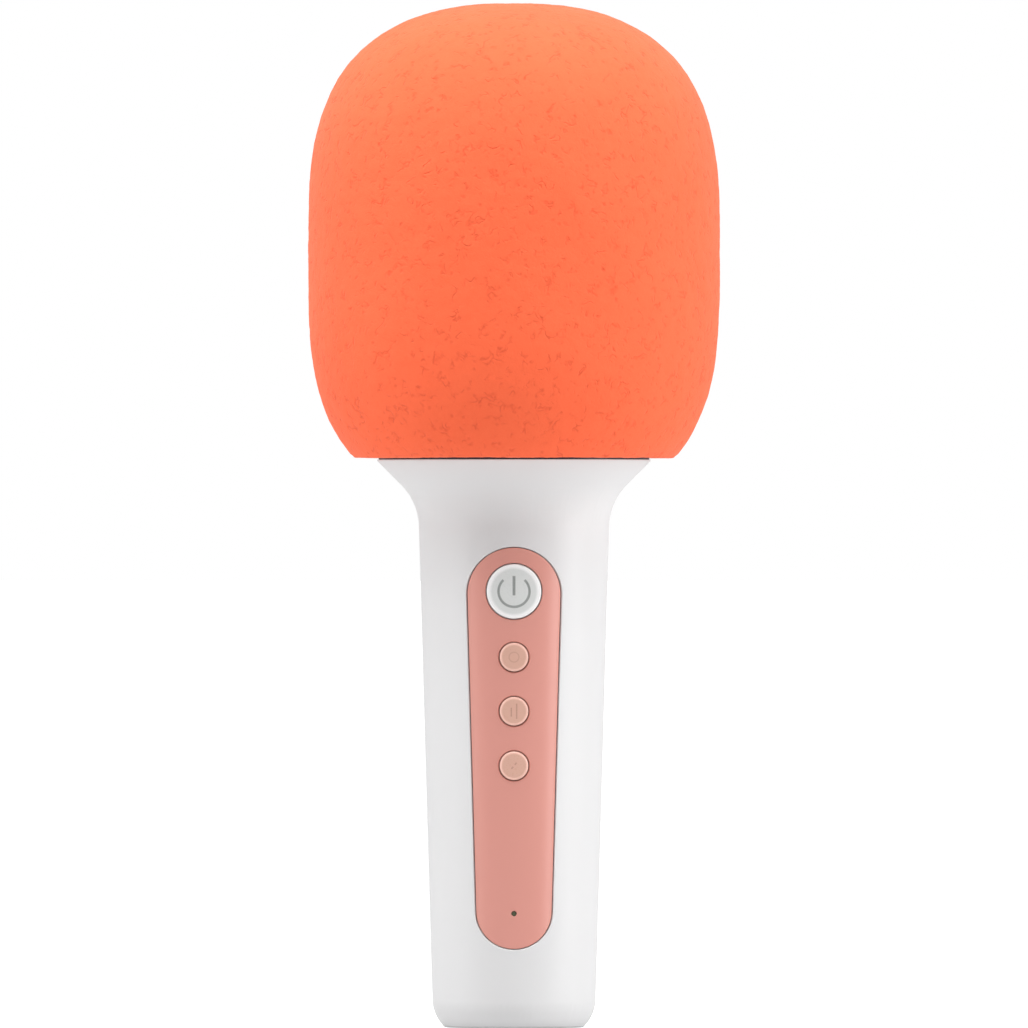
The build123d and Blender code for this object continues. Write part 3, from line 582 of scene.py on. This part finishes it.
def drawn_as_wire(name, lines, radius, finish):
    """Round wire along every line of a mesh."""
    tree = bpy.data.node_groups.new(name, "GeometryNodeTree")
    tree.interface.new_socket("Lines", in_out="INPUT", socket_type="NodeSocketGeometry")
    wire_radius = tree.interface.new_socket("Wire Radius", in_out="INPUT", socket_type="NodeSocketFloat")
    material = {"in_out": "INPUT", "socket_type": "NodeSocketMaterial"}
    wire_finish = tree.interface.new_socket("Wire Finish", **material)
    tree.interface.new_socket("Wires", in_out="OUTPUT", socket_type="NodeSocketGeometry")
    graph = Graph(tree)
    given = graph.node("NodeGroupInput")
    path = graph.node("GeometryNodeMeshToCurve", None, {"Mesh": given.out("Lines")})
    circle = {"Resolution": WIRE_SIDES, "Radius": given.out("Wire Radius")}
    section = graph.node("GeometryNodeCurvePrimitiveCircle", None, circle)
    sweep = {"Curve": path, "Profile Curve": section, "Fill Caps": True}
    drawn = graph.node("GeometryNodeCurveToMesh", None, sweep)
    real = graph.node("GeometryNodeRealizeInstances", None, [drawn])
    finished = {"Geometry": real, "Material": given.out("Wire Finish")}
    dressed = graph.node("GeometryNodeSetMaterial", None, finished)
    graph.node("NodeGroupOutput", None, [dressed])
    draft = bpy.data.objects.new(name + "_lines", line_mesh(name, lines))
    bpy.context.scene.collection.objects.link(draft)
    grower = draft.modifiers.new(name, "NODES")
    grower.node_group = tree
    grower[wire_radius.identifier] = radius
    grower[wire_finish.identifier] = finish.material
    evaluated = draft.evaluated_get(bpy.context.evaluated_depsgraph_get())
    shape = bpy.data.meshes.new_from_object(evaluated)
    bpy.data.objects.remove(draft)
    shape.shade_smooth()
    piece = bpy.data.objects.new(name, shape)
    bpy.context.scene.collection.objects.link(piece)
    return piece


bright_wire = metal("bright_wire", (0.56, 0.57, 0.60), 0.3, drawn=(900.0, 900.0, 900.0))
wire_cloth = drawn_as_wire("wire_cloth", cloth_lines(), WIRE_RADIUS, bright_wire)
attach(wire_cloth, frame["nodes"]["mesh_liner"]["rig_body"])
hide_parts("mesh_liner")


# ======================================================================================
# Foam head. One block of open-cell foam, ground to shape and hollowed to a thick cup,
# which is stretched over the grille. Its bottom rim overhangs the flare all round.
# ======================================================================================
ROUND_POWER = 2.41
TALL_POWER = 3.27
FOAM_COLUMNS = 460
FOAM_STEP = 0.00062
FOAM_RADIUS = 0.04635
FOAM_HALF_HEIGHT = 0.0573
PROFILE_STEPS = 3000
RIM_ROUNDING = 0.0007
CAVITY_GAP = 0.0004
CRUMBS = ((0.9, 0.00007), (0.33, 0.00009), (0.08, 0.00012))
CRUMB_SINK = 0.00012
foam_low, foam_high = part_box("foam_windscreen")
cage_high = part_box("grille_cage")[1]
foam_middle = foam_high.z - FOAM_HALF_HEIGHT
cavity_radius = cage_high.x + CAVITY_GAP
cavity_crown = cage_high.z - cage_high.x


def foam_side(t):
    """Point of the outer profile at the superellipse parameter t, as (radius, height)."""
    rise = FOAM_HALF_HEIGHT * abs(sin(t)) ** (2 / TALL_POWER)
    return (FOAM_RADIUS * max(cos(t), 0.0) ** (2 / ROUND_POWER), foam_middle + (rise if t > 0 else -rise))


def even_steps(points, step):
    """The same line with its points spaced evenly."""
    spaced = [points[0]]
    left = step
    for first, second in zip(points, points[1:]):
        run = Vector(second) - Vector(first)
        while run.length > left:
            first = Vector(first) + run.normalized() * left
            spaced.append(tuple(first))
            run = Vector(second) - Vector(first)
            left = step
        left -= run.length
    return spaced


def foam_profile():
    """Closed line from the crown, down the outside, round the rim and up the cavity."""
    low_sine = ((foam_middle - foam_low.z) / FOAM_HALF_HEIGHT) ** (TALL_POWER / 2)
    low_t = -asin(low_sine)
    span = low_t - pi / 2
    side = [foam_side(pi / 2 + span * i / PROFILE_STEPS) for i in range(PROFILE_STEPS + 1)]
    rim_radius = side[-1][0]
    wall = [point for point in side if point[1] > foam_low.z + RIM_ROUNDING]
    outside = even_steps(wall, FOAM_STEP)[1:]
    rim = []
    for a in (0.4, 0.9, 1.57):
        reach = rim_radius + 0.0002 - RIM_ROUNDING * (1 - cos(a))
        rim.append((reach, foam_low.z + RIM_ROUNDING * (1 - sin(a))))
    flat = [(rim_radius - 0.002, foam_low.z), (cavity_radius + 0.001, foam_low.z)]
    flat.append((cavity_radius, foam_low.z + 0.0006))
    bore_height = cavity_crown - foam_low.z
    bore = [(cavity_radius, foam_low.z + bore_height * i / 12) for i in range(1, 13)]
    tilts = [pi / 2 * i / 14 for i in range(1, 14)]
    vault = [(cavity_radius * cos(a), cavity_crown + cavity_radius * sin(a)) for a in tilts]
    return outside, rim + flat + bore + vault


def foam_head():
    outside, inside = foam_profile()
    mesh = bmesh.new()
    rings = []
    for radius, height in outside + inside:
        ring = []
        for i in range(FOAM_COLUMNS):
            angle = 2 * pi * i / FOAM_COLUMNS
            ring.append(mesh.verts.new((radius * cos(angle), radius * sin(angle), height)))
        rings.append(ring)
    crown = mesh.verts.new((0, 0, foam_middle + FOAM_HALF_HEIGHT))
    vault = mesh.verts.new((0, 0, cavity_crown + cavity_radius))
    for i in range(FOAM_COLUMNS):
        following = (i + 1) % FOAM_COLUMNS
        mesh.faces.new((crown, rings[0][i], rings[0][following]))
        mesh.faces.new((vault, rings[-1][following], rings[-1][i]))
        for upper, lower in zip(rings, rings[1:]):
            mesh.faces.new((upper[i], lower[i], lower[following], upper[following]))
    mesh.normal_update()
    moves = []
    for vertex in mesh.verts:
        spot = vertex.co * 1000
        crumb = sum(noise.noise(spot * fineness) * rise for fineness, rise in CRUMBS)
        moves.append(vertex.normal * (crumb - CRUMB_SINK))
    for vertex, move in zip(mesh.verts, moves):
        vertex.co += move
    shaped = bpy.data.meshes.new("foam_head")
    mesh.to_mesh(shaped)
    mesh.free()
    shaped.shade_smooth()
    piece = bpy.data.objects.new("foam_head", shaped)
    bpy.context.scene.collection.objects.link(piece)
    return piece


# The faint orange emission is a painted glow: it brightens the foam, which is no lamp.
sponge = Finish(
    "orange_sponge",
    roughness=0.88,
    specular_ior_level=0.2,
    sheen_weight=0.12,
    sheen_roughness=0.5,
    sheen_tint=rgb(1.0, 0.75, 0.6),
    emission_color=rgb(1.0, 0.11, 0.05),
    emission_strength=0.05,
)
spot = sponge.place()
curled = {"Vector": spot, "Scale": 1500.0, "Detail": 3.0, "Roughness": 0.6, "Distortion": 1.4}
curl = sponge.node("ShaderNodeTexNoise", None, curled)
cloud = sponge.node("ShaderNodeTexNoise", None, {"Vector": spot, "Scale": 60.0, "Detail": 3.0})
cells = sponge.node("ShaderNodeTexVoronoi", None, {"Vector": spot, "Scale": 800.0})
chosen = sponge.node("ShaderNodeSeparateColor", None, [cells.out("Color")]).calc("GREATER_THAN", 0.93)
shaded_pit = (1 - cells.out("Distance") * 2.0).calc("MAXIMUM", 0.0) * chosen
bent = {"Vector": spot, "Scale": 400.0, "Detail": 1.0, "Distortion": 0.8}
bend = sponge.node("ShaderNodeTexNoise", None, bent)
patched = {"Vector": spot, "W": 3.0, "Scale": 430.0}
patch = sponge.node("ShaderNodeTexNoise", {"noise_dimensions": "4D"}, patched)
line = (1 - (bend - 0.5).calc("ABSOLUTE") * 13.0).calc("MAXIMUM", 0.0)
shaded_groove = line * ((patch - 0.50) * 8.0).clamped()
tone = sponge.blend(cloud * 0.4 + curl * 0.6, rgb(0.90, 0.118, 0.044), rgb(0.99, 0.172, 0.071))
# Pits and grooves are darkened towards a deep orange: painted shade in the foam's open cells and creases,
# besides the bump that sinks them.
sponge.feed("Base Color", sponge.blend(shaded_pit * 0.35 + shaded_groove * 0.34, tone, rgb(0.60, 0.050, 0.018)))
sponge.bump(curl * 0.6 - shaded_pit * 0.8 - shaded_groove * 0.9, 0.00014)
head = foam_head()
head.data.materials.append(sponge.material)
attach(head, "windscreen")
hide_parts("foam_windscreen")
